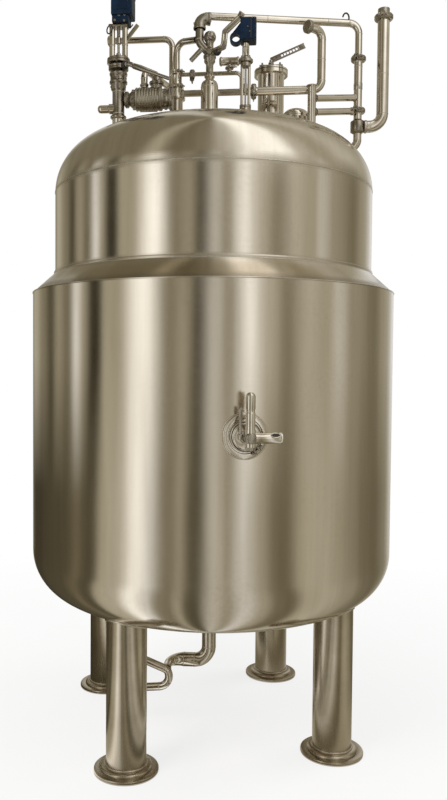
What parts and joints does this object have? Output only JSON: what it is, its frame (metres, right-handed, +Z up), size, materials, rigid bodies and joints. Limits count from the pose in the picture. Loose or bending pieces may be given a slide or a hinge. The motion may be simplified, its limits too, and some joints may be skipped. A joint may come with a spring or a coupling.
{
  "type": "jacketed water storage tank",
  "caption": "Upright jacketed stainless steel water tank on tubular legs, with a dished roof carrying valves, clamped pipe runs, a hand hole and a sampling port on its front.",
  "frame": {"origin": "on the floor, at the middle of the pattern of feet, on the tank's own axis", "axes": "+Z up, -Y towards the front with the sampling port, +X towards the side with the down pipe and the riser"},
  "size_m": [1.505, 1.5972, 3.0342],
  "materials": {
    "brushed_steel": "brushed",
    "polished_steel": "polished",
    "blue_coating": "satin"
  },
  "bodies": {
    "root": {"block_valve": "polished_steel", "centre_nozzle": "polished_steel", "centre_valve": "polished_steel", "cross_clamp": "polished_steel", "cross_pipe": "polished_steel", "down_clamp_lower": "polished_steel", "down_clamp_upper": "polished_steel", "down_pipe": "polished_steel", "drain_pipe": "polished_steel", "foot_front_left": "brushed_steel", "foot_front_right": "brushed_steel", "foot_rear_left": "brushed_steel", "foot_rear_right": "brushed_steel", "hand_hole_arm": "polished_steel", "hand_hole_lid": "polished_steel", "hand_hole_neck": "polished_steel", "header_pipe": "polished_steel", "jacket_bottom_head": "brushed_steel", "jacket_cladding": "brushed_steel", "left_actuator": "blue_coating", "left_handle": "polished_steel", "left_nozzle": "polished_steel", "left_valve": "polished_steel", "left_yoke": "polished_steel", "leg_front_left": "brushed_steel", "leg_front_right": "brushed_steel", "leg_rear_left": "brushed_steel", "leg_rear_right": "brushed_steel", "link_lower": "polished_steel", "link_upper": "polished_steel", "loop_pipe": "polished_steel", "outlet_pipe": "polished_steel", "port_cover": "polished_steel", "port_flange": "polished_steel", "port_valve": "polished_steel", "return_nozzle": "polished_steel", "return_pipe": "polished_steel", "return_tee": "polished_steel", "right_actuator": "blue_coating", "right_base": "polished_steel", "right_yoke": "polished_steel", "riser_pipe": "polished_steel", "riser_union": "polished_steel", "shoulder_cone": "brushed_steel", "shoulder_nozzle": "polished_steel", "sight_port": "polished_steel", "supply_pipe": "polished_steel", "top_head": "brushed_steel", "vent_nozzle": "polished_steel", "vessel_bottom_head": "brushed_steel", "vessel_shell": "brushed_steel"}
  },
  "joints": []
}
